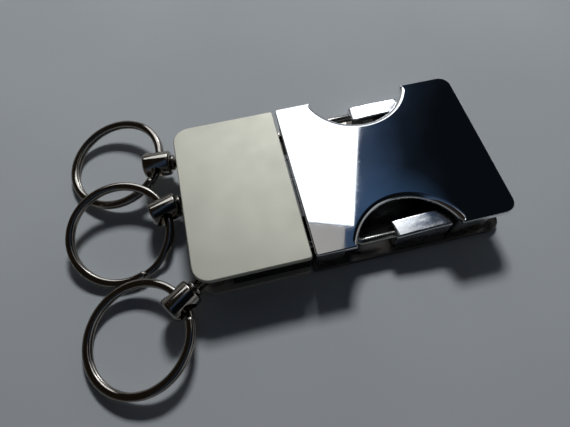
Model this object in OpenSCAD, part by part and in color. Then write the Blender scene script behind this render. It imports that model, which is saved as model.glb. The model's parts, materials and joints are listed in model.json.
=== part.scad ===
// Pull-apart key holder with a hidden cap lifter.
// A satin key half carries three swivels with split rings and slides out of a
// polished housing half once the two side buttons are squeezed.
// Frame: origin at the middle of the underside, +X towards the polished end,
// +Y across, +Z up. Plan positions below are counted from the ring end (X)
// and from the nearer long side (Y).

/* [Body] */
// Length of the two halves together
body_l = 63.4; // [53:0.2:78]
// Width of the plates
body_w = 35.5; // [30:0.5:46]
// Height of the satin half
body_h = 9; // [7.6:0.1:12]
// Thickness of every plate
plate_t = 1.2; // [0.9:0.1:1.5]
// How far the polished top plate stands above the satin one
step_up = 0.3; // [0:0.1:0.6]
// How far the inner walls sit back from the plate edges
side_recess = 1.1; // [0.8:0.1:1.5]

/* [Key half] */
// Length of the satin plates
key_l = 22.3; // [20:0.1:28]
// Corner radius at the ring end
key_corner_r = 3.4; // [1:0.1:5]
// Groove between the two halves
seam_gap = 0.6; // [0.4:0.1:1]
// Front of the solid core behind the swivels
core_x = 6.9; // [6.4:0.1:8]

/* [Housing] */
// Corner radius at the polished end
housing_corner_r = 2.6; // [1:0.1:5]
// Length of the end block
end_block_l = 4.4; // [3.8:0.1:6]
// Extra set-back of the end block
end_recess = 0.6; // [0:0.1:1]
// Wall of the two guide rails
rail_t = 1.6; // [1.2:0.1:2.2]
// How far the rail lips reach over the tongue
rail_lip = 1.5; // [1:0.1:2]
// Width of the outer leg spacers
spacer_w = 1.6; // [1.2:0.1:1.9]
// Length of the outer leg spacers
spacer_l = 6; // [3:0.5:6.5]

/* [Finger notches] */
// Radius of the round notches
notch_r = 11; // [9:0.5:12]
// Depth of the notches from the long sides
notch_d = 8.1; // [5:0.1:8.5]
// Distance of the notches from the polished end
notch_back = 21.9; // [20:0.1:26]

/* [Tongue and cap lifter] */
// Distance of the tongue from the long sides
tongue_edge = 10.05; // [9.5:0.05:12]
// Thickness of the tongue
tongue_t = 3.2; // [2.4:0.1:3.6]
// Length of the tongue beyond the seam
tongue_reach = 29; // [24:0.5:31]
// Length of the tongue held in the core
tongue_root = 9; // [6:0.5:11]
// Length of the cap lifter mouth
mouth_l = 14; // [10:0.5:16]
// Wall of the tongue beside the cap lifter mouth
mouth_wall = 2.5; // [1.8:0.1:3.5]
// Width of the bar that closes the mouth
mouth_bar = 6; // [4:0.5:8]
// Depth of the lifting lip under the bar
lip_h = 0.8; // [0.4:0.1:1.2]

/* [Buttons] */
// Length of the button block
button_l = 11.4; // [9:0.2:12]
// Depth of the button block
button_w = 3.8; // [3:0.1:4.2]
// Height of the button block
button_h = 5.3; // [4.4:0.1:6]
// Button block to its pivot
button_tail = 3.2; // [3:0.1:5]
// Pivot distance from the end of the body
pivot_x = 9; // [8:0.1:10]
// Radius of the pivot eye
pivot_eye_r = 2; // [1.8:0.1:2.2]
// Wall of the cheeks beside the pivots
cheek_t = 0.9; // [0.7:0.1:1.2]
// Diameter of the pivot pin
pivot_pin_d = 2; // [1.6:0.1:2.4]
// Diameter of the latch arm
arm_d = 1.7; // [1.2:0.1:2]
// Arm distance from the long side in the notch
arm_y = 2.6; // [2.2:0.1:3]
// Arm distance from the long side beside the seam
hook_y = 4.4; // [4:0.1:5]
// Length of the hook beyond the arm
hook_reach = 1.2; // [0.8:0.1:1.4]
// Hook distance behind the seam
hook_back = 4.6; // [4:0.1:6]
// Inward play of the hook
hook_play = 2.5; // [2:0.1:3]

/* [Swivels] */
// Distance of the swivel pins from the ring end
stud_x = 3.5; // [3:0.1:4]
// Diameter of the swivel pins
swivel_pin_d = 2.2; // [1.8:0.1:2.4]
// Radius of the swivel bush
bush_r = 2.3; // [2:0.1:2.6]
// Diameter of the stud neck
neck_d = 2.4; // [2:0.1:2.8]
// Barrel distance from its pin
barrel_x = 5.2; // [4.8:0.1:6]
// Length of a barrel
barrel_l = 5.9; // [5.5:0.1:7]
// Radius of a barrel
barrel_r = 2.7; // [2.5:0.1:3]
// Radius of the cross hole in a barrel
eye_r = 2; // [1.8:0.05:2.1]
// Wall left at the free end of a barrel
eye_web = 0.6; // [0.5:0.1:0.9]

/* [Split rings] */
// Outer diameter of a split ring
ring_d = 22; // [20:0.5:25]
// Width of the ring wire
wire_w = 1.6; // [1.2:0.1:1.7]
// Height of one turn of the wire
turn_h = 0.9; // [0.7:0.05:1]

/* [Screws] */
// Diameter of the screws
screw_d = 2; // [1.6:0.1:2.2]
// Diameter of the screw heads
screw_head_d = 3.4; // [3:0.1:3.8]

/* [Hidden] */
$fn = 64;

// Clearances: fixed fits, sliding fits, and the buttons between the plates
fit = 0.05;
slide_gap = 0.15;
thin_gap = 0.3;
// How far a cutting shape runs past the face it cuts
cut = 1;
// Radius of the corners beside the seam
seam_corner_r = 0.6;
// Radius of the end block's outer corners
end_corner_r = 3;
// Thickness of a screw head and depth of its slot
screw_head_h = 0.7;
screw_slot_d = 0.35;

// Heights of the gap between the plates
low_z = plate_t;
key_top_z = body_h - plate_t;
housing_top_z = body_h + step_up - plate_t;
mid_z = (low_z + key_top_z) / 2;

// Plan lines
housing_x = key_l + seam_gap;
notch_x = body_l - notch_back;
tongue_y = tongue_edge;
tongue_w = body_w - 2 * tongue_edge;
rail_y = tongue_y - slide_gap - rail_t;
tongue_z = mid_z - tongue_t / 2;
tongue_end_x = housing_x + tongue_reach;
mouth_x = tongue_end_x - mouth_bar - mouth_l;
mouth_w = tongue_w - 2 * mouth_wall;
mouth_r = mouth_w * 0.28;
pivot_at_x = body_l - pivot_x;
pivot_y = side_recess + cheek_t + slide_gap + pivot_eye_r;
button_x = pivot_at_x - button_tail - button_l;
button_z = low_z + thin_gap;
arm_rise = 0.5;
arm_z = button_z + button_h / 2 + arm_rise;
hook_x = key_l - hook_back;
jog_l = 3;
jog_x = housing_x + spacer_l + 0.6 + jog_l;
end_block_x = body_l - side_recess - end_recess - end_block_l;
cheek_gap = 1.2;
cheek_x = button_x + button_l + cheek_gap;
rail_end_x = end_block_x;
rail_setback = 0.6;
spring_set = 2.4;
spring_x = button_x + button_l - spring_set;
spring_r = 1.1;
spring_wire_r = 0.2;
spring_turns = 5;

// Swivel i: distance of its pin from the near long side
pin_y = [body_w - 5.4, body_w - 14.1, 3.5];
// Swivel i: swing and barrel spin
swivels = [
    [-5.5, -3.4],
    [16, -3.9],
    [33, -2.4]
];
// Split ring i: bearing from its eye, play in the eye, drop below the eye, tilts
rings = [
    [157.82, 0.44, 1.63, 3, -10.2],
    [194.53, 0.36, 1.25, 12.5, -1],
    [205.14, 0.62, 1.86, 1, -9.4]
];

// ---- shared shapes ----

// Moves a shape from plan positions into the part's frame
module in_frame() {
    translate([-body_l / 2, -body_w / 2, 0]) children();
}

// Repeats a near-side shape on the far long side
module on_far_side() {
    translate([0, body_w, 0]) mirror([0, 1, 0]) children();
}

// Rectangle with rounded corners at its two ends
module rounded_outline(l, w, r_left, r_right) {
    translate([r_left, 0]) square([l - r_left - r_right, w]);
    translate([0, r_left]) square([l / 2, w - 2 * r_left]);
    translate([l / 2, r_right]) square([l / 2, w - 2 * r_right]);
    for (y = [r_left, w - r_left]) translate([r_left, y]) circle(r_left);
    for (y = [r_right, w - r_right]) translate([l - r_right, y]) circle(r_right);
}

// Screw with a flat slotted head, its head at z = 0
module screw(l) {
    difference() {
        union() {
            cylinder(h = l, d = screw_d);
            cylinder(h = screw_head_h, d = screw_head_d);
        }
        translate([-screw_head_d, -0.2, -cut]) cube([2 * screw_head_d, 0.4, cut + screw_slot_d]);
    }
}

// Hole that a screw fits
module screw_hole(l) {
    translate([0, 0, -cut]) cylinder(h = l + cut, d = screw_d + 2 * fit);
    translate([0, 0, -cut]) cylinder(h = cut + screw_head_h + fit, d = screw_head_d + 2 * fit);
}

key_screw_l = low_z + (key_top_z - low_z) * 0.85;
housing_screw_l = low_z + (housing_top_z - low_z) * 0.85;
key_screw_at = [
    [core_x + 4, 6],
    [core_x + 4, body_w - 6],
    [key_l - tongue_root / 2, body_w / 2 - tongue_w / 4],
    [key_l - tongue_root / 2, body_w / 2 + tongue_w / 4]
];
housing_screw_at = [
    [end_block_x + end_block_l / 2, body_w / 4],
    [end_block_x + end_block_l / 2, body_w * 3 / 4],
    [rail_end_x - 2.4, rail_y + (rail_t + rail_lip) / 2],
    [rail_end_x - 2.4, body_w - rail_y - (rail_t + rail_lip) / 2]
];

// ---- key half ----

module key_top_plate() {
    color([0.68, 0.67, 0.62]) in_frame()
    translate([0, 0, key_top_z]) linear_extrude(plate_t)
    rounded_outline(key_l, body_w, key_corner_r, seam_corner_r);
}

module key_bottom_plate() {
    color([0.62, 0.61, 0.57]) in_frame()
    difference() {
        linear_extrude(plate_t) rounded_outline(key_l, body_w, key_corner_r, seam_corner_r);
        for (p = key_screw_at) translate(p) screw_hole(plate_t + cut);
        for (y = pin_y) translate([stud_x, y, -cut]) cylinder(h = plate_t + 2 * cut, d = swivel_pin_d);
    }
}

// Room in the core for a latch arm, its hook and their inward play
module latch_pocket() {
    hook_room = arm_d / 2 + 0.25;
    arm_side = hook_y - arm_d / 2 - slide_gap;
    far_side = hook_y + arm_d / 2 + hook_play + slide_gap;
    low = arm_z - arm_d / 2 - slide_gap;
    high = arm_d + 2 * slide_gap;
    tip = hook_y - arm_d / 2 - hook_reach - slide_gap;
    translate([hook_x - hook_room, arm_side, low])
    cube([key_l - hook_x + hook_room + cut, far_side - arm_side, high]);
    translate([hook_x - hook_room, tip, low])
    cube([2 * hook_room, far_side - tip, high]);
}

module key_core() {
    color([0.3, 0.3, 0.31]) in_frame()
    difference() {
        translate([core_x, side_recess, low_z])
        cube([key_l - core_x, body_w - 2 * side_recess, key_top_z - low_z]);
        latch_pocket();
        on_far_side() latch_pocket();
        translate([key_l - tongue_root, tongue_y, tongue_z]) cube([tongue_root + cut, tongue_w, tongue_t]);
        for (p = key_screw_at) translate(p) screw_hole(key_screw_l + 0.1);
    }
}

module opener_tongue() {
    lip_w = mouth_w - 2;
    color([0.55, 0.56, 0.58]) in_frame() {
        difference() {
            translate([key_l - tongue_root, tongue_y, tongue_z])
            linear_extrude(tongue_t)
            rounded_outline(tongue_end_x - key_l + tongue_root, tongue_w, 0.5, 2);
            translate([mouth_x, (body_w - mouth_w) / 2, tongue_z - cut])
            linear_extrude(tongue_t + 2 * cut)
            rounded_outline(mouth_l, mouth_w, mouth_r, mouth_r / 2);
            for (p = key_screw_at) translate([p[0], p[1], 0]) screw_hole(key_screw_l + 0.1);
        }
        translate([mouth_x + mouth_l, (body_w - lip_w) / 2, tongue_z - lip_h]) cube([1.4, lip_w, lip_h]);
    }
}

module key_screws() {
    color([0.5, 0.5, 0.5]) in_frame()
    for (p = key_screw_at) translate(p) screw(key_screw_l);
}

module swivel_pins() {
    color([0.55, 0.55, 0.55]) in_frame()
    for (y = pin_y) translate([stud_x, y, 0]) cylinder(h = key_top_z, d = swivel_pin_d);
}

// ---- housing half ----

module notch() {
    translate([notch_x, notch_d - notch_r, -cut]) cylinder(h = plate_t + 2 * cut, r = notch_r, $fn = 96);
}

module housing_top_plate() {
    color([0.1, 0.12, 0.2]) in_frame()
    translate([0, 0, housing_top_z])
    difference() {
        translate([housing_x, 0, 0]) linear_extrude(plate_t)
        rounded_outline(body_l - housing_x, body_w, seam_corner_r, housing_corner_r);
        notch();
        on_far_side() notch();
    }
}

module housing_bottom_plate() {
    color([0.6, 0.62, 0.66]) in_frame()
    difference() {
        translate([housing_x, 0, 0]) linear_extrude(plate_t)
        rounded_outline(body_l - housing_x, body_w, seam_corner_r, housing_corner_r);
        for (p = housing_screw_at) translate(p) screw_hole(plate_t + cut);
        for (y = [pivot_y, body_w - pivot_y])
            translate([pivot_at_x, y, -cut]) cylinder(h = plate_t + 2 * cut, d = pivot_pin_d);
    }
}

// End wall with two cheeks that run forward beside the button pivots
module end_block() {
    end_x = body_l - side_recess - end_recess;
    w = body_w - 2 * side_recess;
    color([0.45, 0.46, 0.5]) in_frame()
    difference() {
        translate([cheek_x, side_recess, low_z]) linear_extrude(housing_top_z - low_z)
        rounded_outline(end_x - cheek_x, w, cheek_t / 3, end_corner_r);
        translate([cheek_x - cut, side_recess + cheek_t, 0])
        cube([end_block_x - cheek_x + cut, w - 2 * cheek_t, body_h + cut]);
        for (p = housing_screw_at) translate(p) screw_hole(housing_screw_l + 0.1);
    }
}

module guide_rail() {
    groove_z = tongue_z - slide_gap;
    difference() {
        translate([housing_x + rail_setback, rail_y, low_z])
        cube([rail_end_x - housing_x - rail_setback, rail_t + rail_lip, housing_top_z - low_z]);
        translate([housing_x, tongue_y - slide_gap, groove_z])
        cube([tongue_reach + 0.5, tongue_w, tongue_t + 2 * slide_gap]);
        for (p = housing_screw_at) translate(p) screw_hole(housing_screw_l + 0.1);
    }
}

module guide_rail_near() {
    color([0.4, 0.41, 0.44]) in_frame() guide_rail();
}

module guide_rail_far() {
    color([0.4, 0.41, 0.44]) in_frame() on_far_side() guide_rail();
}

module leg_spacer() {
    translate([housing_x + rail_setback, side_recess, low_z]) cube([spacer_l, spacer_w, housing_top_z - low_z]);
}

module leg_spacer_near() {
    color([0.5, 0.51, 0.55]) in_frame() leg_spacer();
}

module leg_spacer_far() {
    color([0.5, 0.51, 0.55]) in_frame() on_far_side() leg_spacer();
}

module lever_pins() {
    color([0.55, 0.55, 0.55]) in_frame()
    for (y = [pivot_y, body_w - pivot_y])
        translate([pivot_at_x, y, 0]) cylinder(h = housing_top_z, d = pivot_pin_d);
}

module housing_screws() {
    color([0.5, 0.5, 0.5]) in_frame()
    for (p = housing_screw_at) translate(p) screw(housing_screw_l);
}

// ---- buttons ----

arm_socket = 4;
arm_root_x = button_x + arm_socket;

module button() {
    tail_w = pivot_eye_r * 1.2;
    difference() {
        union() {
            translate([button_x, side_recess, button_z]) cube([button_l, button_w, button_h]);
            translate([button_x + button_l - 0.5, pivot_y - tail_w / 2, button_z])
            cube([button_tail + 0.5, tail_w, button_h]);
            translate([pivot_at_x, pivot_y, button_z]) cylinder(h = button_h, r = pivot_eye_r);
        }
        translate([pivot_at_x, pivot_y, 0]) cylinder(h = body_h, d = pivot_pin_d + 2 * fit);
        translate([button_x - cut, arm_y, arm_z]) rotate([0, 90, 0]) cylinder(h = arm_socket + cut, d = arm_d);
    }
}

// Round rod between two points at one height
module rod(from, to, d) {
    run = to - from;
    translate([from[0], from[1], 0]) rotate([0, 0, atan2(run[1], run[0])])
    rotate([0, 90, 0]) cylinder(h = norm(run), d = d);
}

module latch_arm() {
    root = [arm_root_x, arm_y];
    bend = [jog_x, arm_y];
    leg = [jog_x - jog_l, hook_y];
    elbow = [hook_x, hook_y];
    tip = [hook_x, hook_y - hook_reach];
    translate([0, 0, arm_z]) {
        rod(root, bend, arm_d);
        rod(bend, leg, arm_d);
        rod(leg, elbow, arm_d);
        rod(elbow, tip, arm_d);
        for (p = [bend, leg, elbow])
            translate([p[0], p[1], -arm_d / 2 - fit]) cylinder(h = arm_d + 2 * fit, d = arm_d + 2 * fit);
    }
}

// Compression spring between a button and its rail, its axis along Y
module return_spring() {
    length = rail_y - side_recess - button_w - 0.1;
    steps = 12 * spring_turns;
    sides = 6;
    travel = length - 2 * spring_wire_r;
    rings_of_points = [
        for (i = [0 : steps]) let (a = 360 * i / 12, y = travel * i / steps)
            for (j = [0 : sides - 1]) let (b = 360 * j / sides, r = spring_r + spring_wire_r * cos(b))
                [r * cos(a), y + spring_wire_r * sin(b), r * sin(a)]
    ];
    walls = [
        for (i = [0 : steps - 1], j = [0 : sides - 1]) let (k = (j + 1) % sides)
            [i * sides + j, i * sides + k, (i + 1) * sides + k, (i + 1) * sides + j]
    ];
    caps = [[for (j = [sides - 1 : -1 : 0]) j], [for (j = [0 : sides - 1]) steps * sides + j]];
    translate([spring_x, side_recess + button_w + 0.05 + spring_wire_r, arm_z - 0.5])
    polyhedron(points = rings_of_points, faces = concat(walls, caps));
}

module button_near() {
    color([0.7, 0.71, 0.74]) in_frame() button();
}

module button_far() {
    color([0.7, 0.71, 0.74]) in_frame() on_far_side() button();
}

module latch_arm_near() {
    color([0.6, 0.6, 0.63]) in_frame() latch_arm();
}

module latch_arm_far() {
    color([0.6, 0.6, 0.63]) in_frame() on_far_side() latch_arm();
}

module return_spring_near() {
    color([0.5, 0.5, 0.52]) in_frame() return_spring();
}

module return_spring_far() {
    color([0.5, 0.5, 0.52]) in_frame() on_far_side() return_spring();
}

// ---- swivels ----

head_t = 0.6;
head_r = neck_d / 2 + 0.3;
shoulder = 1;
eye_x = barrel_x + barrel_l - eye_web - eye_r;

// Frame of swivel i: origin on its pin, +x out through the barrel
module at_swivel(i) {
    in_frame() translate([stud_x, pin_y[i], mid_z]) rotate([0, 0, 180 + swivels[i][0]]) children();
}

// Bush on the pin, neck, collar and the riveted head inside the barrel
module stud(i) {
    bush_h = key_top_z - low_z - 0.4;
    color([0.5, 0.5, 0.5]) at_swivel(i)
    difference() {
        union() {
            translate([0, 0, -bush_h / 2]) cylinder(h = bush_h, r = bush_r);
            rotate([0, 90, 0]) cylinder(h = barrel_x + shoulder + head_t + fit, d = neck_d);
            translate([barrel_x - 0.75, 0, 0]) rotate([0, 90, 0]) cylinder(h = 0.7, r = neck_d / 2 + 0.5);
            translate([barrel_x + shoulder + fit, 0, 0]) rotate([0, 90, 0]) cylinder(h = head_t, r = head_r);
        }
        translate([0, 0, -body_h]) cylinder(h = 2 * body_h, d = swivel_pin_d + 2 * fit);
    }
}

// Half outline of a barrel with rounded ends, turned about its axis
module barrel_outline() {
    edge = 0.6;
    translate([0, edge]) square([barrel_r, barrel_l - 2 * edge]);
    square([barrel_r - edge, barrel_l]);
    for (y = [edge, barrel_l - edge]) translate([barrel_r - edge, y]) circle(edge);
}

module barrel(i) {
    color([0.45, 0.45, 0.45]) at_swivel(i) rotate([swivels[i][1], 0, 0])
    difference() {
        translate([barrel_x, 0, 0]) rotate([0, 90, 0]) rotate_extrude() barrel_outline();
        rotate([0, 90, 0]) cylinder(h = eye_x, d = neck_d + 2 * fit);
        translate([barrel_x + shoulder, 0, 0]) rotate([0, 90, 0])
        cylinder(h = eye_x - barrel_x - shoulder, r = head_r + fit);
        translate([eye_x, barrel_r + cut, 0]) rotate([90, 0, 0]) cylinder(h = 2 * (barrel_r + cut), r = eye_r);
    }
}

// ---- split rings ----

// Cross-section of one turn, with rounded edges
module turn_outline() {
    edge = 0.25;
    translate([edge, 0]) square([wire_w - 2 * edge, turn_h]);
    translate([0, edge]) square([wire_w, turn_h - 2 * edge]);
    for (x = [edge, wire_w - edge], y = [edge, turn_h - edge]) translate([x, y]) circle(edge, $fn = 24);
}

module split_ring(i) {
    r = rings[i];
    swing = 180 + swivels[i][0];
    reach = (ring_d - wire_w) / 2 - r[1];
    x = stud_x + eye_x * cos(swing) + reach * cos(r[0]);
    y = pin_y[i] + eye_x * sin(swing) + reach * sin(r[0]);
    color([0.5, 0.5, 0.5]) in_frame() translate([x, y, mid_z - r[2]]) rotate([r[3], r[4], 0])
    rotate_extrude($fn = 128) translate([ring_d / 2 - wire_w, 0]) {
        turn_outline();
        translate([0, -turn_h + 0.02]) turn_outline();
    }
}

key_top_plate();
key_core();
key_bottom_plate();
opener_tongue();
key_screws();
swivel_pins();
housing_top_plate();
housing_bottom_plate();
end_block();
guide_rail_far();
guide_rail_near();
leg_spacer_far();
leg_spacer_near();
lever_pins();
housing_screws();
button_far();
button_near();
latch_arm_far();
latch_arm_near();
return_spring_far();
return_spring_near();
stud(0);  // stud_1
stud(1);  // stud_2
stud(2);  // stud_3
barrel(0);  // barrel_1
barrel(1);  // barrel_2
barrel(2);  // barrel_3
split_ring(0);  // split_ring_1
split_ring(1);  // split_ring_2
split_ring(2);  // split_ring_3
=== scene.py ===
import json
import math

import bmesh
import bpy
from mathutils import Matrix, Vector


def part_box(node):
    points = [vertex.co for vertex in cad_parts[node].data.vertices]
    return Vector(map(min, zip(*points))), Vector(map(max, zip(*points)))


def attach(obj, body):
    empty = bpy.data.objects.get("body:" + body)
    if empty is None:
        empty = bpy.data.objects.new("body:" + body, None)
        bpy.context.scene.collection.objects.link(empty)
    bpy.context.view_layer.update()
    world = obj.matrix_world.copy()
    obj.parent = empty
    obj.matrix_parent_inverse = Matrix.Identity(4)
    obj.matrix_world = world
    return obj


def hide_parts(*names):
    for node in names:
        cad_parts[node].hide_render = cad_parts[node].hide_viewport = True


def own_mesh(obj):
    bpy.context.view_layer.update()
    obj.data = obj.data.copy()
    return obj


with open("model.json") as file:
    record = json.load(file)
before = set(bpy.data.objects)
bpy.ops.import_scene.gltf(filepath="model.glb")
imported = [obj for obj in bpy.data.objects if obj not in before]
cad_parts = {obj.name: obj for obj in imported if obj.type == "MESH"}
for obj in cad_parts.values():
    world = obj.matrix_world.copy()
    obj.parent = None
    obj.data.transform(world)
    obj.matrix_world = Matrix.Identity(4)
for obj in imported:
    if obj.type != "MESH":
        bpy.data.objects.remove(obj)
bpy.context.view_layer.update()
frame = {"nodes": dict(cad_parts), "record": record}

bpy.context.scene.view_settings.view_transform = "Standard"
joints = {j["name"]: j for j in frame["record"]["behaviour"]["joints"]}
MM = 0.001


# ---------------------------------------------------------------- stage
# A sheet of pale grey-blue paper lies under the object. A soft window with one
# bright pane hangs behind it, and a weak warm ceiling patch hangs beside that.

def linear(hex_colour):
    """An sRGB hex colour as linear RGBA."""
    parts = [int(hex_colour[k:k + 2], 16) / 255 for k in (1, 3, 5)]
    return [c / 12.92 if c <= 0.04045 else ((c + 0.055) / 1.055) ** 2.4 for c in parts] + [1.0]


def put(tree, kind, settings=None, values=None, links=None):
    """Adds a node, sets its properties and socket values, and links sockets into it."""
    node = tree.nodes.new(kind)
    for key, value in (settings or {}).items():
        setattr(node, key, value)
    for key, value in (values or {}).items():
        node.inputs[key].default_value = value
    for key, socket in (links or {}).items():
        tree.links.new(socket, node.inputs[key])
    return node


def ramp(tree, factor, stops):
    """A colour ramp over (position, colour) stops."""
    node = put(tree, "ShaderNodeValToRGB", links={"Fac": factor})
    points = node.color_ramp.elements
    while len(points) < len(stops):
        points.new(0.5)
    for point, (place, colour) in zip(points, stops):
        point.position = place
        point.color = colour if isinstance(colour, list) else [colour] * 3 + [1.0]
    return node.outputs["Color"]


def math_node(tree, operation, a, b=0.0):
    """A maths node on two sockets or numbers."""
    node = put(tree, "ShaderNodeMath", {"operation": operation})
    for k, item in enumerate((a, b)):
        if isinstance(item, (int, float)):
            node.inputs[k].default_value = item
        else:
            tree.links.new(item, node.inputs[k])
    return node.outputs[0]


def material(name, metallic=1.0):
    """A new material with its tree, its shader and its object coordinates."""
    made = bpy.data.materials.new(name)
    made.use_nodes = True
    tree = made.node_tree
    shader = tree.nodes["Principled BSDF"]
    shader.inputs["Metallic"].default_value = metallic
    coords = put(tree, "ShaderNodeTexCoord").outputs["Object"]
    return made, tree, shader, coords


def noise(tree, coords, size_mm, detail=3.0, stretch=(1, 1, 1), turn=0.0):
    """Noise whose features measure size_mm, drawn out along an axis by stretch."""
    mapped = put(tree, "ShaderNodeMapping", links={"Vector": coords},
                 values={"Scale": [1 / s for s in stretch], "Rotation": [0, 0, turn]})
    return put(tree, "ShaderNodeTexNoise", links={"Vector": mapped.outputs[0]},
               values={"Scale": 1 / (size_mm * MM), "Detail": detail}).outputs["Fac"]


def bump(tree, shader, height, depth_mm, strength=1.0):
    """Feeds a height into the shader's normal, on top of any earlier bump."""
    node = put(tree, "ShaderNodeBump", values={"Distance": depth_mm * MM, "Strength": strength},
               links={"Height": height})
    earlier = shader.inputs["Normal"].links
    if earlier:
        tree.links.new(earlier[0].from_socket, node.inputs["Normal"])
    tree.links.new(node.outputs[0], shader.inputs["Normal"])


def paper_material():
    made, tree, shader, coords = material("pale_paper", metallic=0.0)
    tint = ramp(tree, noise(tree, coords, 60, 2), [(0.3, linear("#babfc3")), (0.7, linear("#c2c7ca"))])
    tree.links.new(tint, shader.inputs["Base Color"])
    shader.inputs["Roughness"].default_value = 0.9
    shader.inputs["Specular IOR Level"].default_value = 0.2
    bump(tree, shader, noise(tree, coords, 0.6, 4), 0.02, 0.3)
    return made


floor_mesh = bpy.data.meshes.new("floor")
reach = 1.5
floor_corners = [(-reach, -reach, 0), (reach, -reach, 0), (reach, reach, 0), (-reach, reach, 0)]
floor_mesh.from_pydata(floor_corners, [], [(0, 1, 2, 3)])
floor = bpy.data.objects.new("floor", floor_mesh)
floor.location.z = -0.02 * MM
floor.data.materials.append(paper_material())
bpy.context.collection.objects.link(floor)

# The camera looks down from the near side, left of the middle.
low_corner = Vector(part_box("key_bottom_plate")[0])
camera_data = bpy.data.cameras.new("camera")
camera_data.sensor_width = 36
camera_data.lens = 26.53
camera_data.clip_start = 0.001
camera = bpy.data.objects.new("camera", camera_data)
tilt, roll, heading = 26.78, 1.165, -13.275
camera.rotation_euler = [math.radians(a) for a in (tilt, roll, heading)]
camera.location = Vector((low_corner.x, low_corner.y, 0)) + Vector((12.34, -26.02, 81.84)) * MM
bpy.context.collection.objects.link(camera)
bpy.context.scene.camera = camera


def area_light(name, corner, size, turned, radiance, colour):
    """A rectangular light that faces down, from its corner along its two turned sides."""
    data = bpy.data.lights.new(name, "AREA")
    data.shape = "RECTANGLE"
    data.size, data.size_y = size
    data.energy = radiance * math.pi * size[0] * size[1]
    data.color = linear(colour)[:3]
    light = bpy.data.objects.new(name, data)
    spin = Matrix.Rotation(math.radians(turned), 4, "Z")
    light.matrix_world = Matrix.Translation(corner) @ spin @ Matrix.Translation((size[0] / 2, size[1] / 2, 0))
    bpy.context.collection.objects.link(light)
    return light


# The window and its bright pane, the ceiling patch, and three dim cards that
# fill the polished faces. Only the bright pane and the room light the paper. The
# pane lies in the window's plane and has to be made after it.
light_height, window_turn = 0.6, 70
window_corner = Vector((0.155, 0.233, light_height))
along = Vector((math.cos(math.radians(window_turn)), math.sin(math.radians(window_turn)), 0))
aside = Vector((-along.y, along.x, 0))
pane_corner = window_corner + along * 0.26 + aside * 0.03
ceiling_corner = window_corner - along * 0.22 + aside * 0.015
window = area_light("window", window_corner, (0.9, 0.55), window_turn, 1.7, "#f6faff")
area_light("bright_pane", pane_corner, (0.19, 0.19), window_turn, 57, "#f8fafc")
ceiling = area_light("ceiling", ceiling_corner, (0.218, 0.13), window_turn, 0.34, "#fff3de")
seen_only_in_metal = [window, ceiling]
cards = (("card_near", (0.62, -1.3), (1.5, 0.85), 0.42), ("card_low", (1.2, -2.6), (2.6, 1.0), 0.5),
         ("card_right", (0.62, 0.62), (0.5, 0.5), 0.5))
for name, corner, size, radiance in cards:
    seen_only_in_metal.append(area_light(name, Vector((*corner, light_height)), size, 0, radiance, "#e8edf2"))
for panel in seen_only_in_metal:
    panel.visible_diffuse = False
    panel.visible_camera = False

# The room: soft light low down on the window's side, a bluish haze beside the
# window, a blue glow near the middle, and dark above.
world = bpy.data.worlds.new("room")
world.use_nodes = True
bpy.context.scene.world = world
sky = world.node_tree
way = put(sky, "ShaderNodeSeparateXYZ", links={"Vector": put(sky, "ShaderNodeTexCoord").outputs["Generated"]})
height = math_node(sky, "MAXIMUM", way.outputs["Z"], 0.05)
side_x = math_node(sky, "DIVIDE", way.outputs["X"], height)
side_y = math_node(sky, "DIVIDE", way.outputs["Y"], height)
past_window = math_node(sky, "SUBTRACT", math_node(sky, "MULTIPLY", side_x, 0.917),
                        math_node(sky, "MULTIPLY", side_y, 0.4))
cloud = put(sky, "ShaderNodeTexNoise", values={"Scale": 7.0, "Detail": 3.0},
            links={"Vector": put(sky, "ShaderNodeTexCoord").outputs["Generated"]}).outputs["Fac"]
drift = math_node(sky, "MULTIPLY", math_node(sky, "SUBTRACT", cloud, 0.5), 0.22)
haze = ramp(sky, math_node(sky, "ADD", math_node(sky, "ADD", past_window, 0.5), drift),
            [(0.0, linear("#201b16")), (0.36, linear("#201c18")), (0.47, linear("#3d4d63")),
             (0.6, linear("#2c3b52")), (0.7, linear("#141b25")), (0.8, linear("#0a0d11"))])
low_band = ramp(sky, way.outputs["Z"], [(0.0, 0.02), (0.06, 0.3), (0.35, 0.26), (0.56, 0.0)])
toward_light = math_node(sky, "ADD", math_node(sky, "MULTIPLY", way.outputs["Y"], 0.4),
                         math_node(sky, "MULTIPLY", way.outputs["X"], 0.3))
share = ramp(sky, math_node(sky, "ADD", toward_light, 0.5), [(0.3, 0.16), (0.5, 0.22), (0.75, 1.0)])
walls = put(sky, "ShaderNodeMix", {"data_type": "RGBA", "blend_type": "MULTIPLY"}, {"Factor": 1.0},
            {"A": low_band, "B": share}).outputs["Result"]
spot = math_node(sky, "ADD", math_node(sky, "POWER", math_node(sky, "SUBTRACT", side_x, 0.37), 2.0),
                 math_node(sky, "POWER", math_node(sky, "SUBTRACT", side_y, 0.42), 2.0))
glow = ramp(sky, math_node(sky, "SQRT", spot), [(0.0, linear("#2b4468")), (0.06, linear("#243850")),
                                                (0.17, linear("#000000"))])
haze = put(sky, "ShaderNodeMix", {"data_type": "RGBA", "blend_type": "ADD"}, {"Factor": 1.0},
           {"A": haze, "B": glow}).outputs["Result"]
room = put(sky, "ShaderNodeMix", {"data_type": "RGBA", "blend_type": "ADD"}, {"Factor": 1.0},
           {"A": haze, "B": walls})
sky.links.new(room.outputs["Result"], sky.nodes["Background"].inputs["Color"])


# ---------------------------------------------------------------- key half: top plate
# A stamped plate of nickel-plated steel with a fine bead-blasted satin finish.
# It is screwed down on the core from below, so its face carries no fixing.

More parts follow.
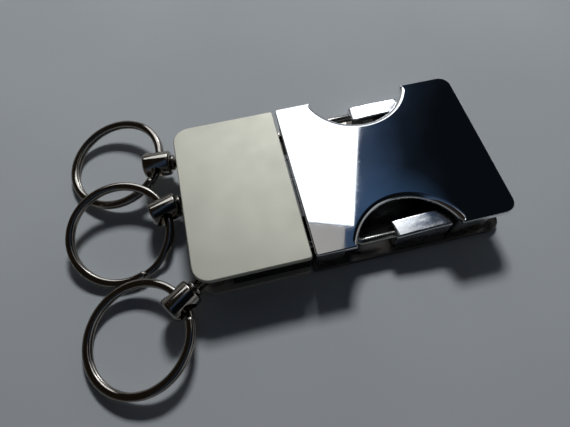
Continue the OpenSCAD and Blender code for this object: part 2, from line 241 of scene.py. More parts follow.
def arc(centre, radius, start, end, steps, edge):
    """Outline points round an arc, from one angle to another, with their edge radius."""
    points = []
    for k in range(steps + 1):
        a = math.radians(start + (end - start) * k / steps)
        points.append((centre[0] + radius * math.cos(a), centre[1] + radius * math.sin(a), edge))
    return points


def slab(outline, low, high, under_edge, steps=4, deepest=0.55 * MM):
    """A plate over an anticlockwise outline of (x, y, top edge width), its edges rounded."""
    count = len(outline)
    inward = []
    for k in range(count):
        here = Vector(outline[k][:2])
        back = (here - Vector(outline[k - 1][:2])).normalized()
        ahead = (Vector(outline[(k + 1) % count][:2]) - here).normalized()
        n1, n2 = Vector((-back.y, back.x)), Vector((-ahead.y, ahead.x))
        inward.append((n1 + n2) / max(1 + n1.dot(n2), 0.4))
    rows = []
    for j in range(steps + 1):
        a = math.radians(90 * j / steps)
        rows.append([(1 - math.sin(a)) * under_edge, low + (1 - math.cos(a)) * under_edge, False])
    for j in range(steps + 1):
        a = math.radians(90 * j / steps)
        rows.append([1 - math.cos(a), 1 - math.sin(a), True])
    made = bmesh.new()
    loops = []
    for share, level, top in rows:
        loop = []
        for (x, y, edge), way_in in zip(outline, inward):
            inset = share * edge if top else share
            z = high - level * min(edge, deepest) if top else level
            loop.append(made.verts.new((x + way_in.x * inset, y + way_in.y * inset, z)))
        loops.append(loop)
    for lower, upper in zip(loops, loops[1:]):
        for k in range(count):
            m = (k + 1) % count
            made.faces.new((lower[k], lower[m], upper[m], upper[k]))
    made.faces.new(loops[0][::-1])
    made.faces.new(loops[-1])
    mesh = bpy.data.meshes.new("slab")
    made.to_mesh(mesh)
    made.free()
    return mesh


def shaped(mesh, *steps):
    """The mesh after the given modifiers, as a plain mesh."""
    blank = bpy.data.objects.new("blank", mesh)
    bpy.context.collection.objects.link(blank)
    for polygon in mesh.polygons:
        polygon.use_smooth = True
    for kind, settings in steps:
        modifier = blank.modifiers.new(kind.lower(), kind)
        for key, value in settings.items():
            setattr(modifier, key, value)
    bpy.context.view_layer.update()
    result = bpy.data.meshes.new_from_object(blank.evaluated_get(bpy.context.evaluated_depsgraph_get()))
    bpy.data.objects.remove(blank)
    return result


FLAT_FACES = ("WEIGHTED_NORMAL", {"mode": "FACE_AREA", "weight": 100})


def fit_piece(name, mesh, finish, slot_name, body, *nodes):
    """Puts a finished piece in the scene in place of its CAD nodes."""
    piece = bpy.data.objects.new(name, mesh)
    mesh.materials.clear()
    mesh.materials.append(finish)
    bpy.context.collection.objects.link(piece)
    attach(piece, body)
    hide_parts(*nodes)
    return piece


def satin_nickel_finish():
    made, tree, shader, coords = material("satin_nickel", metallic=0.62)
    tint = ramp(tree, noise(tree, coords, 9, 3), [(0.3, linear("#b7b6aa")), (0.7, linear("#bdbcb0"))])
    tree.links.new(tint, shader.inputs["Base Color"])
    rough = ramp(tree, noise(tree, coords, 5, 4), [(0.3, 0.6), (0.7, 0.64)])
    tree.links.new(rough, shader.inputs["Roughness"])
    bump(tree, shader, noise(tree, coords, 0.12, 2), 0.004, 0.5)
    return made


satin_nickel = satin_nickel_finish()


def plate_outline(low, high, left_corner, right_corner, edge):
    """A plate outline with its left and right corners rounded."""
    x0, y0, x1, y1 = low[0], low[1], high[0], high[1]
    a, b = left_corner, right_corner
    return (arc((x0 + a, y0 + a), a, 180, 270, 10, edge) + arc((x1 - b, y0 + b), b, 270, 360, 10, edge)
            + arc((x1 - b, y1 - b), b, 0, 90, 10, edge) + arc((x0 + a, y1 - a), a, 90, 180, 10, edge))


key_low, key_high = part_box("key_top_plate")
key_corner, seam_corner = 3.4 * MM, 0.6 * MM
outline = plate_outline(key_low, key_high, key_corner, seam_corner, 0.25 * MM)
fit_piece("satin_top_plate", shaped(slab(outline, key_low[2], key_high[2], 0.12 * MM), FLAT_FACES),
          satin_nickel, "satin_nickel", "key_half", "key_top_plate")


# ---------------------------------------------------------------- key half: bottom plate
# The same stamped plate from below, with countersunk seats for four screws
# and three holes in which the swivel pins are riveted.

def holed_plate(outline, holes, low, high, edge):
    """A plate with round holes, all edges rounded alike; holes are (x, y, radius)."""
    curve = bpy.data.curves.new("plate", "CURVE")
    curve.dimensions = "2D"
    curve.fill_mode = "BOTH"
    rings = [[(x, y) for x, y, _ in outline]]
    rings += [[(x, y) for x, y, _ in arc((cx, cy), r, 0, 360 - 11.25, 31, 0)] for cx, cy, r in holes]
    for ring in rings:
        line = curve.splines.new("POLY")
        line.points.add(len(ring) - 1)
        for point, (x, y) in zip(line.points, ring):
            point.co = (x, y, 0, 1)
        line.use_cyclic_u = True
    curve.extrude = (high - low) / 2 - edge
    curve.bevel_depth = edge
    curve.bevel_resolution = 2
    curve.offset = -edge
    shape = bpy.data.objects.new("plate", curve)
    bpy.context.collection.objects.link(shape)
    bpy.context.view_layer.update()
    mesh = bpy.data.meshes.new_from_object(shape.evaluated_get(bpy.context.evaluated_depsgraph_get()))
    bpy.data.objects.remove(shape)
    mesh.transform(Matrix.Translation((0, 0, (low + high) / 2)))
    cleaned = bmesh.new()
    cleaned.from_mesh(mesh)
    bmesh.ops.remove_doubles(cleaned, verts=cleaned.verts, dist=1e-6)
    bmesh.ops.recalc_face_normals(cleaned, faces=cleaned.faces)
    cleaned.to_mesh(mesh)
    cleaned.free()
    return mesh


screw_head_r, screw_r, screw_head_h = 1.7 * MM, 1 * MM, 0.7 * MM
pin_r, pin_fit, head_fit = 1.1 * MM, 0.02 * MM, 0.05 * MM


def screw_places(node, inner):
    """The four screws of one half: a pair at the outer corners of their box and an inner pair."""
    low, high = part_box(node)
    outer_x, inner_x = (low[0], high[0]) if low[0] < -0.01 else (high[0], low[0])
    sign = 1 if outer_x < inner_x else -1
    ends = [(outer_x + sign * screw_head_r, y) for y in (low[1] + screw_head_r, high[1] - screw_head_r)]
    return ends + [(inner_x - sign * screw_head_r, y) for y in (-inner, inner)]


key_screws = screw_places("key_screws", 3.85 * MM)
housing_screws = screw_places("housing_screws", 7.9 * MM)
swivel_places = [joints["swing_%d" % n]["pos_m"] for n in (1, 2, 3)]
under_low, under_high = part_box("key_bottom_plate")
outline = plate_outline(under_low, under_high, key_corner, seam_corner, 0)
holes = [(x, y, screw_head_r + head_fit) for x, y in key_screws]
holes += [(p[0], p[1], pin_r + pin_fit) for p in swivel_places]
mesh = shaped(holed_plate(outline, holes, under_low[2], under_high[2], 0.14 * MM), FLAT_FACES)
fit_piece("satin_bottom_plate", mesh, satin_nickel, "satin_nickel", "key_half", "key_bottom_plate")


# ---------------------------------------------------------------- key half: core
# The solid block that holds the plates apart, milled from steel and blackened.
# Its open pockets take the two latch hooks.

def blackened_finish():
    made, tree, shader, coords = material("blackened_steel")
    tint = ramp(tree, noise(tree, coords, 2.5, 4), [(0.3, linear("#2b2a29")), (0.7, linear("#3a3937"))])
    tree.links.new(tint, shader.inputs["Base Color"])
    rough = ramp(tree, noise(tree, coords, 0.8, 3, (12, 1, 1)), [(0.3, 0.42), (0.7, 0.6)])
    tree.links.new(rough, shader.inputs["Roughness"])
    bump(tree, shader, noise(tree, coords, 0.25, 3, (14, 1, 1)), 0.006, 0.6)
    return made


def dress(node, finish):
    """Gives a carried-over CAD part its finish."""
    for holder in frame["nodes"][node].material_slots:
        holder.material = finish


dress("key_core", blackened_finish())


# ---------------------------------------------------------------- key half: tongue with the cap lifter
# A ground flat of hardened steel pinned in the core; it slides in the housing rails.
# Its mouth hooks over a crown cap, and the small lip bites under the rim.

def ground_steel_finish(name, low_tint, high_tint):
    made, tree, shader, coords = material(name)
    tint = ramp(tree, noise(tree, coords, 4, 3), [(0.3, linear(low_tint)), (0.7, linear(high_tint))])
    tree.links.new(tint, shader.inputs["Base Color"])
    rough = ramp(tree, noise(tree, coords, 0.5, 3, (20, 1, 1)), [(0.3, 0.24), (0.7, 0.36)])
    tree.links.new(rough, shader.inputs["Roughness"])
    bump(tree, shader, noise(tree, coords, 0.09, 2, (40, 1, 1)), 0.003, 0.5)
    return made


ground_steel = ground_steel_finish("ground_steel", "#a9acb0", "#b7babd")
dress("opener_tongue", ground_steel)


# ---------------------------------------------------------------- screws of both halves
# Turned steel screws with flat slotted heads, sunk flush in the undersides.
# Every one is the same pattern, set at its own seat and at its own angle.

def turned_steel_finish():
    made, tree, shader, coords = material("turned_steel")
    tint = ramp(tree, noise(tree, coords, 1.5, 3), [(0.3, linear("#8f9092")), (0.7, linear("#a3a4a5"))])
    tree.links.new(tint, shader.inputs["Base Color"])
    rough = ramp(tree, noise(tree, coords, 0.3, 3), [(0.3, 0.28), (0.7, 0.42)])
    tree.links.new(rough, shader.inputs["Roughness"])
    bump(tree, shader, noise(tree, coords, 0.15, 3, (1, 1, 8)), 0.003, 0.5)
    return made


turned_steel = turned_steel_finish()


def set_input(modifier, name, value):
    """Sets a modifier's input by the identifier of its named socket."""
    for item in modifier.node_group.interface.items_tree:
        if item.item_type == "SOCKET" and item.in_out == "INPUT" and item.name == name:
            modifier[item.identifier] = value


def new_pattern(name, sizes):
    """A geometry node tree with named size inputs; returns the tree and its two ends."""
    tree = bpy.data.node_groups.new(name, "GeometryNodeTree")
    tree.interface.new_socket("Geometry", in_out="INPUT", socket_type="NodeSocketGeometry")
    for size in sizes:
        tree.interface.new_socket(size, in_out="INPUT", socket_type="NodeSocketFloat")
    tree.interface.new_socket("Geometry", in_out="OUTPUT", socket_type="NodeSocketGeometry")
    return tree, put(tree, "NodeGroupInput"), put(tree, "NodeGroupOutput")


def finish_pattern(tree, shape, end, finish):
    """Ends a tree in Realize Instances and Set Material."""
    real = put(tree, "GeometryNodeRealizeInstances", links={"Geometry": shape})
    coated = put(tree, "GeometryNodeSetMaterial", values={"Material": finish},
                 links={"Geometry": real.outputs[0]})
    tree.links.new(coated.outputs["Geometry"], end.inputs[0])


def lay_out(places, level, tree, sizes):
    """Runs a tree on a mesh of loose points and returns the plain mesh."""
    points = bpy.data.meshes.new("places")
    points.from_pydata([(p[0], p[1], level) for p in places], [], [])
    holder = bpy.data.objects.new("places", points)
    bpy.context.collection.objects.link(holder)
    modifier = holder.modifiers.new("pattern", "NODES")
    modifier.node_group = tree
    for name, value in sizes.items():
        set_input(modifier, name, value)
    bpy.context.view_layer.update()
    mesh = bpy.data.meshes.new_from_object(holder.evaluated_get(bpy.context.evaluated_depsgraph_get()))
    holder.modifiers.remove(modifier)
    bpy.data.objects.remove(holder)
    return mesh


def screw_pattern():
    """Slotted screws standing on points, heads down at the points."""
    tree, start, end = new_pattern("slotted_screws", ["Head radius", "Head height", "Shank radius", "Length"])
    half_head = math_node(tree, "MULTIPLY", start.outputs["Head height"], 0.5)
    head = put(tree, "GeometryNodeMeshCylinder", values={"Vertices": 40},
               links={"Radius": start.outputs["Head radius"], "Depth": start.outputs["Head height"]})
    head_up = put(tree, "ShaderNodeCombineXYZ", links={"Z": half_head})
    head_set = put(tree, "GeometryNodeTransform",
                   links={"Geometry": head.outputs["Mesh"], "Translation": head_up.outputs[0]})
    slot_bar = put(tree, "GeometryNodeMeshCube", values={"Size": (6 * MM, 0.4 * MM, 0.7 * MM)})
    head_cut = put(tree, "GeometryNodeMeshBoolean", {"operation": "DIFFERENCE", "solver": "EXACT"})
    tree.links.new(head_set.outputs["Geometry"], head_cut.inputs["Mesh 1"])
    tree.links.new(slot_bar.outputs["Mesh"], head_cut.inputs["Mesh 2"])
    shank_l = math_node(tree, "SUBTRACT", start.outputs["Length"], start.outputs["Head height"])
    shank = put(tree, "GeometryNodeMeshCylinder", values={"Vertices": 32},
                links={"Radius": start.outputs["Shank radius"], "Depth": shank_l})
    lift = math_node(tree, "ADD", math_node(tree, "MULTIPLY", shank_l, 0.5), start.outputs["Head height"])
    shank_up = put(tree, "ShaderNodeCombineXYZ", links={"Z": lift})
    shank_set = put(tree, "GeometryNodeTransform",
                    links={"Geometry": shank.outputs["Mesh"], "Translation": shank_up.outputs[0]})
    whole = put(tree, "GeometryNodeJoinGeometry")
    tree.links.new(head_cut.outputs["Mesh"], whole.inputs[0])
    tree.links.new(shank_set.outputs["Geometry"], whole.inputs[0])
    last_turn = put(tree, "FunctionNodeRandomValue", {"data_type": "FLOAT"}, {"Seed": 4})
    last_turn.inputs["Max"].default_value = math.pi
    angle = put(tree, "ShaderNodeCombineXYZ", links={"Z": last_turn.outputs["Value"]})
    placed = put(tree, "GeometryNodeInstanceOnPoints",
                 links={"Points": start.outputs["Geometry"], "Instance": whole.outputs[0],
                        "Rotation": angle.outputs[0]})
    finish_pattern(tree, placed.outputs[0], end, turned_steel)
    return tree


screws = screw_pattern()
HARD_EDGES = ("BEVEL", {"width": 0.08 * MM, "segments": 2, "limit_method": "ANGLE",
                        "angle_limit": math.radians(35), "harden_normals": True})
for half, node, places in (("key_half", "key_screws", key_screws),
                           ("housing", "housing_screws", housing_screws)):
    low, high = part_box(node)
    mesh = lay_out(places, low[2], screws, {"Head radius": screw_head_r, "Head height": screw_head_h,
                                            "Shank radius": screw_r, "Length": high[2] - low[2]})
    fit_piece(node + "_turned", shaped(mesh, HARD_EDGES), turned_steel, "hardware", half, node)


# ---------------------------------------------------------------- swivel pins and pivot pins
# Plain ground steel pins: three through the swivel bushes, two through the buttons.
# They run through the bottom plates and end under the top plates.

def pin_pattern():
    """Pins standing on points, their ends stepped in by a small chamfer."""
    tree, start, end = new_pattern("ground_pins", ["Radius", "Length", "Chamfer"])
    body_l = math_node(tree, "SUBTRACT", start.outputs["Length"],
                       math_node(tree, "MULTIPLY", start.outputs["Chamfer"], 2.0))
    tip_r = math_node(tree, "SUBTRACT", start.outputs["Radius"], start.outputs["Chamfer"])
    middle = math_node(tree, "MULTIPLY", start.outputs["Length"], 0.5)
    whole = put(tree, "GeometryNodeJoinGeometry")
    for radius, length in ((start.outputs["Radius"], body_l), (tip_r, start.outputs["Length"])):
        rod = put(tree, "GeometryNodeMeshCylinder", values={"Vertices": 32},
                  links={"Radius": radius, "Depth": length})
        up = put(tree, "ShaderNodeCombineXYZ", links={"Z": middle})
        stood = put(tree, "GeometryNodeTransform",
                    links={"Geometry": rod.outputs["Mesh"], "Translation": up.outputs[0]})
        tree.links.new(stood.outputs["Geometry"], whole.inputs[0])
    placed = put(tree, "GeometryNodeInstanceOnPoints",
                 links={"Points": start.outputs["Geometry"], "Instance": whole.outputs[0]})
    finish_pattern(tree, placed.outputs[0], end, turned_steel)
    return tree


pins = pin_pattern()
pivot_r, pivot_play, swivel_play = 1 * MM, 0.04 * MM, 0.04 * MM
pivot_places = [joints["button_far_press"]["pos_m"], joints["button_near_press"]["pos_m"]]
for half, node, places, radius in (("key_half", "swivel_pins", swivel_places, pin_r),
                                   ("housing", "lever_pins", pivot_places, pivot_r)):
    low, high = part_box(node)
    mesh = lay_out(places, low[2], pins, {"Radius": radius, "Length": high[2] - low[2], "Chamfer": 0.12 * MM})
    fit_piece(node + "_ground", shaped(mesh, FLAT_FACES), turned_steel, "hardware", half, node)


# ---------------------------------------------------------------- housing: mirror plate
# A die-cut plate polished and chromed to a mirror, with two round finger notches.
# The notch edges are rolled over much softer than the straight edges.

def chrome_finish():
    made, tree, shader, coords = material("mirror_chrome")
    tint = ramp(tree, noise(tree, coords, 14, 2), [(0.3, linear("#e6e8ea")), (0.7, linear("#eceded"))])
    tree.links.new(tint, shader.inputs["Base Color"])
    smears = noise(tree, coords, 7, 5, (1, 2.2, 1), 0.6)
    dust = noise(tree, coords, 0.5, 2)
    rough = math_node(tree, "ADD", ramp(tree, smears, [(0.35, 0.018), (0.75, 0.055)]),
                      ramp(tree, dust, [(0.68, 0.0), (0.8, 0.05)]))
    tree.links.new(rough, shader.inputs["Roughness"])
    scratches = noise(tree, coords, 0.06, 1, (60, 1, 1), 0.35)
    fine = ramp(tree, scratches, [(0.62, 0.0), (0.7, 1.0)])
    bump(tree, shader, fine, 0.0006, 0.25)
    bump(tree, shader, noise(tree, coords, 9, 1), 0.01, 0.25)
    return made


mirror_chrome = chrome_finish()
notch_r, notch_back, notch_dip = 11 * MM, 21.9 * MM, 8.1 * MM
rolled_edge, plain_edge = 1.15 * MM, 0.3 * MM


def notched_outline(low, high, left_corner, right_corner, edge, notch_edge):
    """The plate outline with a round notch in each long side."""
    x0, y0, x1, y1 = low[0], low[1], high[0], high[1]
    notch_x = x1 - notch_back
    swing = math.degrees(math.acos((notch_r - notch_dip) / notch_r))

    def bite(centre_y, facing):
        points = arc((notch_x, centre_y), notch_r, facing + swing, facing - swing, 72, notch_edge)
        for k, share in enumerate((0.0, 0.35, 0.7)):
            blend = edge + (notch_edge - edge) * share
            points[k] = (*points[k][:2], blend)
            points[-1 - k] = (*points[-1 - k][:2], blend)
        return points

    a, b = left_corner, right_corner
    return (arc((x0 + a, y0 + a), a, 180, 270, 6, edge) + bite(y0 + notch_dip - notch_r, 90)
            + arc((x1 - b, y0 + b), b, 270, 360, 14, edge) + arc((x1 - b, y1 - b), b, 0, 90, 14, edge)
            + bite(y1 - notch_dip + notch_r, 270) + arc((x0 + a, y1 - a), a, 90, 180, 6, edge))


end_corner = 2.6 * MM
mirror_low, mirror_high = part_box("housing_top_plate")
outline = notched_outline(mirror_low, mirror_high, seam_corner, end_corner, plain_edge, rolled_edge)
mesh = slab(outline, mirror_low[2], mirror_high[2], 0.15 * MM, 6, 0.85 * MM)
fit_piece("mirror_top_plate", shaped(mesh, FLAT_FACES),
          mirror_chrome, "polished_chrome", "housing", "housing_top_plate")


# ---------------------------------------------------------------- housing: bottom plate
# The plain plate under the housing, chromed but not buffed, without notches. Its colour is darkened as
# painted shade for the shade between the plates.
# Four screws and the two pivot pins come through it.

def dull_painted_shade_chrome_finish():
    made, tree, shader, coords = material("dull_painted_shade_chrome")
    # The dark tint is painted shade: it stands for the shade that falls between the plates, where the chrome
    # would otherwise show a bright reflection.
    tint = ramp(tree, noise(tree, coords, 6, 3), [(0.3, linear("#6a6560")), (0.7, linear("#77726c"))])
    tree.links.new(tint, shader.inputs["Base Color"])
    rough = ramp(tree, noise(tree, coords, 3, 5), [(0.3, 0.22), (0.7, 0.36)])
    tree.links.new(rough, shader.inputs["Roughness"])
    bump(tree, shader, noise(tree, coords, 0.2, 2, (30, 1, 1)), 0.003, 0.4)
    return made


dull_painted_shade_chrome = dull_painted_shade_chrome_finish()
base_low, base_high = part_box("housing_bottom_plate")
outline = plate_outline(base_low, base_high, seam_corner, end_corner, 0)
holes = [(x, y, screw_head_r + head_fit) for x, y in housing_screws]
holes += [(p[0], p[1], pivot_r + pin_fit) for p in pivot_places]
mesh = shaped(holed_plate(outline, holes, base_low[2], base_high[2], 0.16 * MM), FLAT_FACES)
fit_piece("chrome_bottom_plate", mesh, dull_painted_shade_chrome, "polished_chrome", "housing", "housing_bottom_plate")


# ---------------------------------------------------------------- housing: end block and spacers
# Steel parts between the plates: the end wall with its two cheeks beside the
# pivots, and a square spacer in the tip of each leg. All are nickel plated.

def plated_finish():
    made, tree, shader, coords = material("plated_steel")
    tint = ramp(tree, noise(tree, coords, 3, 3), [(0.3, linear("#c4c3be")), (0.7, linear("#cfcec9"))])
    tree.links.new(tint, shader.inputs["Base Color"])
    rough = ramp(tree, noise(tree, coords, 1.2, 4, (3, 3, 1)), [(0.3, 0.2), (0.7, 0.32)])
    tree.links.new(rough, shader.inputs["Roughness"])
    bump(tree, shader, noise(tree, coords, 0.2, 2, (1, 1, 10)), 0.003, 0.4)
    return made


plated_steel = plated_finish()
cheek, wall_r, inner_wall = 0.9 * MM, 3 * MM, 4.4 * MM
low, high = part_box("end_block")
x0, y0, x1, y1 = low[0], low[1], high[0], high[1]
edge = 0.12 * MM
outline = ([(x0, y0, edge)] + arc((x1 - wall_r, y0 + wall_r), wall_r, 270, 360, 12, edge)
           + arc((x1 - wall_r, y1 - wall_r), wall_r, 0, 90, 12, edge)
           + [(x0, y1, edge), (x0, y1 - cheek, edge), (x1 - inner_wall, y1 - cheek, edge),
              (x1 - inner_wall, y0 + cheek, edge), (x0, y0 + cheek, edge)])
fit_piece("end_wall", shaped(slab(outline, low[2], high[2], edge, 2), FLAT_FACES),
          plated_steel, "steel", "housing", "end_block")
for node in ("leg_spacer_far", "leg_spacer_near"):
    low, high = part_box(node)
    outline = plate_outline(low, high, 0.3 * MM, 0.3 * MM, edge)
    fit_piece(node + "_block", shaped(slab(outline, low[2], high[2], edge, 2), FLAT_FACES),
              plated_steel, "steel", "housing", node)


# ---------------------------------------------------------------- housing: guide rails
# Two milled rails in which the tongue slides, screwed in from the underside.
# They stay as milled, so they are duller than the plated parts.

milled_steel = ground_steel_finish("milled_steel", "#7e8083", "#8d8f92")
dress("guide_rail_far", milled_steel)
dress("guide_rail_near", milled_steel)


# ---------------------------------------------------------------- buttons
# A polished bar with a round eye at the end of its tail, turning on its pivot pin.
# It is chromed and tumbled, and the edges a fingertip meets are rounded.

button_l, button_w, tail_w, eye_r = 11.4 * MM, 3.8 * MM, 2.4 * MM, 2 * MM


def button_outline(side):
    """The button seen from above; side is +1 for the far long side."""
    low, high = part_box("button_far" if side > 0 else "button_near")
    pivot = Vector(joints["button_far_press" if side > 0 else "button_near_press"]["pos_m"][:2])
    outer = high[1] if side > 0 else low[1]
    x0, x1 = low[0], low[0] + button_l
    inner = outer - side * button_w
    reach = math.degrees(math.asin(tail_w / 2 / eye_r))
    soft, plain, shoulder = 0.5 * MM, 0.3 * MM, 0.5 * MM
    rim = arc(pivot, eye_r, -180 + reach, 180 - reach, 28, plain)
    tail_low, tail_high = pivot.y - tail_w / 2, pivot.y + tail_w / 2
    r = 0.35 * MM
    if side < 0:
        return (arc((x0 + r, outer + r), r, 180, 270, 5, soft)
                + arc((x1 - r, outer + r), r, 270, 360, 5, soft) + [(x1, tail_low, plain)] + rim
                + [(x1 - shoulder, tail_high, plain), (x1 - shoulder, inner, plain)]
                + arc((x0 + r, inner - r), r, 90, 180, 5, plain))
    return (arc((x0 + r, inner + r), r, 180, 270, 5, plain) + [(x1 - shoulder, inner, plain)]
            + [(x1 - shoulder, tail_low, plain)] + rim + [(x1, tail_high, plain)]
            + arc((x1 - r, outer - r), r, 0, 90, 5, soft) + arc((x0 + r, outer - r), r, 90, 180, 5, soft))


def crowned(mesh, x_left, x_crest, drop, lean):
    """The mesh with its top falling softly from the crest to the left end, and leaning inwards there."""
    made = bmesh.new()
    made.from_mesh(mesh)
    middle = sum(v.co.z for v in made.verts) / len(made.verts)
    y_low, y_high = min(v.co.y for v in made.verts), max(v.co.y for v in made.verts)
    for k in range(1, 12):
        x = x_left + (x_crest - x_left) * k / 12
        bmesh.ops.bisect_plane(made, geom=made.verts[:] + made.edges[:] + made.faces[:], dist=1e-7,
                               plane_co=(x, 0, 0), plane_no=(1, 0, 0))
    for v in made.verts:
        if v.co.z > middle and v.co.x < x_crest:
            share = (x_crest - v.co.x) / (x_crest - x_left)
            across = (v.co.y - y_low) / (y_high - y_low)
            v.co.z -= drop * (0.6 * share + 0.4 * share * share) + lean * share * across
    made.to_mesh(mesh)
    made.free()
    return mesh


def drilled(mesh, centre, radius, *steps):
    """The mesh with an upright hole drilled through it, then the given modifiers."""
    made = bmesh.new()
    bmesh.ops.create_cone(made, cap_ends=True, segments=48, radius1=radius, radius2=radius, depth=40 * MM,
                          matrix=Matrix.Translation(centre))
    drill_mesh = bpy.data.meshes.new("drill")
    made.to_mesh(drill_mesh)
    made.free()
    drill = bpy.data.objects.new("drill", drill_mesh)
    bpy.context.collection.objects.link(drill)
    result = shaped(mesh, ("BOOLEAN", {"object": drill, "solver": "EXACT"}), *steps)
    bpy.data.objects.remove(drill)
    return result


def tumbled_chrome_finish():
    made, tree, shader, coords = material("tumbled_chrome")
    tint = ramp(tree, noise(tree, coords, 3, 3), [(0.3, linear("#d9dcdf")), (0.7, linear("#e6e8ea"))])
    tree.links.new(tint, shader.inputs["Base Color"])
    rough = ramp(tree, noise(tree, coords, 1.4, 4, (2, 1, 1)), [(0.3, 0.14), (0.7, 0.3)])
    tree.links.new(rough, shader.inputs["Roughness"])
    bump(tree, shader, noise(tree, coords, 2.2, 2), 0.05, 0.5)
    return made


tumbled_chrome = tumbled_chrome_finish()
for name, side, crest, drop, lean in (("button_far", 1, 0.6, 0.3 * MM, 0.0),
                                      ("button_near", -1, 0.75, 0.7 * MM, 0.25 * MM)):
    low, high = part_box(name)
    bar = slab(button_outline(side), low[2], high[2], 0.3 * MM, 5)
    bar = crowned(bar, low[0], low[0] + crest * button_l, drop, lean)
    bar = drilled(bar, joints[name + "_press"]["pos_m"], pivot_r + pivot_play, FLAT_FACES)
    fit_piece(name + "_bar", bar, tumbled_chrome, "polished_chrome", name, name)


# ---------------------------------------------------------------- latch arms
# Drawn spring-steel rods, bent cold, whose hooks catch in the core.
# Each is pressed into the end of its button.

def spring_steel_finish():
    made, tree, shader, coords = material("drawn_spring_steel")
    tint = ramp(tree, noise(tree, coords, 2, 3), [(0.3, linear("#a6a49f")), (0.7, linear("#b6b4ae"))])
    tree.links.new(tint, shader.inputs["Base Color"])
    rough = ramp(tree, noise(tree, coords, 0.4, 3, (25, 1, 1)), [(0.3, 0.16), (0.7, 0.26)])
    tree.links.new(rough, shader.inputs["Roughness"])
    bump(tree, shader, noise(tree, coords, 0.1, 2, (60, 1, 1)), 0.002, 0.4)
    return made


spring_steel = spring_steel_finish()


def rounded_path(corners, radius, steps=8):
    """The path through the corners, each bend rounded to the radius."""
    points = [Vector(corners[0])]
    for back, here, ahead in zip(corners, corners[1:], corners[2:]):
        back, here, ahead = Vector(back), Vector(here), Vector(ahead)
        a, b = (back - here).normalized(), (ahead - here).normalized()
        half_angle = a.angle(b) / 2
        cut = min(radius / math.tan(half_angle), 0.45 * (back - here).length, 0.45 * (ahead - here).length)
        for k in range(steps + 1):
            t = k / steps
            p, q = here + a * cut * (1 - t), here + b * cut * t
            points.append(p * (1 - t) + q * t)
    points.append(Vector(corners[-1]))
    return points


def rod_mesh(points, radius, sides=24):
    """A round rod along a path in one horizontal plane, with domed ends."""
    made = bmesh.new()
    stations = []
    for k, point in enumerate(points):
        before, after = points[max(k - 1, 0)], points[min(k + 1, len(points) - 1)]
        stations.append((point, (after - before).normalized(), radius))
    for end, step in ((0, -1), (-1, 1)):
        point, way, _ = stations[end]
        caps = [(point + way * step * radius * 0.3 * math.sin(a), way, radius * (0.55 + 0.45 * math.cos(a)))
                for a in (math.radians(30), math.radians(60), math.radians(90))]
        stations = caps[::-1] + stations if end == 0 else stations + caps
    loops = []
    for point, way, r in stations:
        across, up = Vector((-way.y, way.x, 0)), Vector((0, 0, 1))
        turns = [math.tau * j / sides for j in range(sides)]
        loops.append([made.verts.new(point + across * r * math.cos(a) + up * r * math.sin(a)) for a in turns])
    for lower, upper in zip(loops, loops[1:]):
        for j in range(sides):
            m = (j + 1) % sides
            made.faces.new((lower[j], lower[m], upper[m], upper[j]))
    made.faces.new(loops[0])
    made.faces.new(loops[-1])
    bmesh.ops.recalc_face_normals(made, faces=made.faces)
    mesh = bpy.data.meshes.new("rod")
    made.to_mesh(mesh)
    made.free()
    return mesh


arm_r, bend_r = 0.84 * MM, 1.1 * MM
arm_in, hook_in, tip_in = 2.6 * MM, 4.4 * MM, 3.25 * MM
spacer_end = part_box("leg_spacer_near")[1][0]
for name, side in (("latch_arm_far", 1), ("latch_arm_near", -1)):
    low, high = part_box(name)
    level = (low[2] + high[2]) / 2
    hook_x = low[0] + 0.9 * MM
    body_edge = (base_high if side > 0 else base_low)[1]
    arm_y, hook_y, tip_y = [body_edge - side * inset for inset in (arm_in, hook_in, tip_in)]
    corners = [(high[0] - 0.3 * MM, arm_y, level), (spacer_end + 3.6 * MM, arm_y, level),
               (spacer_end + 0.6 * MM, hook_y, level), (hook_x, hook_y, level), (hook_x, tip_y, level)]
    fit_piece(name + "_rod", shaped(rod_mesh(rounded_path(corners, bend_r), arm_r)), spring_steel,
              "spring_steel", name.replace("latch_arm", "button"), name)


# ---------------------------------------------------------------- return springs
# Small coil springs wound from music wire; each pushes its button outwards from the rail.

def coil_pattern():
    """A coil spring wound about the Y axis, starting from the near end of its box."""
    tree, start, end = new_pattern("coil_spring", ["Turns", "Coil radius", "Wire radius", "Travel"])
    path = put(tree, "GeometryNodeCurveSpiral", values={"Resolution": 20},
               links={"Rotations": start.outputs["Turns"], "Start Radius": start.outputs["Coil radius"],
                      "End Radius": start.outputs["Coil radius"], "Height": start.outputs["Travel"]})
    section = put(tree, "GeometryNodeCurvePrimitiveCircle", values={"Resolution": 10},
                  links={"Radius": start.outputs["Wire radius"]})
    wire = put(tree, "GeometryNodeCurveToMesh", values={"Fill Caps": True},
               links={"Curve": path.outputs[0], "Profile Curve": section.outputs["Curve"]})
    laid = put(tree, "GeometryNodeTransform", values={"Rotation": (math.radians(-90), 0, 0)},
               links={"Geometry": wire.outputs["Mesh"]})
    placed = put(tree, "GeometryNodeInstanceOnPoints",
                 links={"Points": start.outputs["Geometry"], "Instance": laid.outputs["Geometry"]})
    finish_pattern(tree, placed.outputs[0], end, music_wire)
    return tree


def music_wire_finish():
    made, tree, shader, coords = material("black_music_wire")
    tint = ramp(tree, noise(tree, coords, 1, 3), [(0.3, linear("#3b3a3a")), (0.7, linear("#4a4948"))])
    tree.links.new(tint, shader.inputs["Base Color"])
    rough = ramp(tree, noise(tree, coords, 0.3, 3), [(0.3, 0.3), (0.7, 0.42)])
    tree.links.new(rough, shader.inputs["Roughness"])
    return made


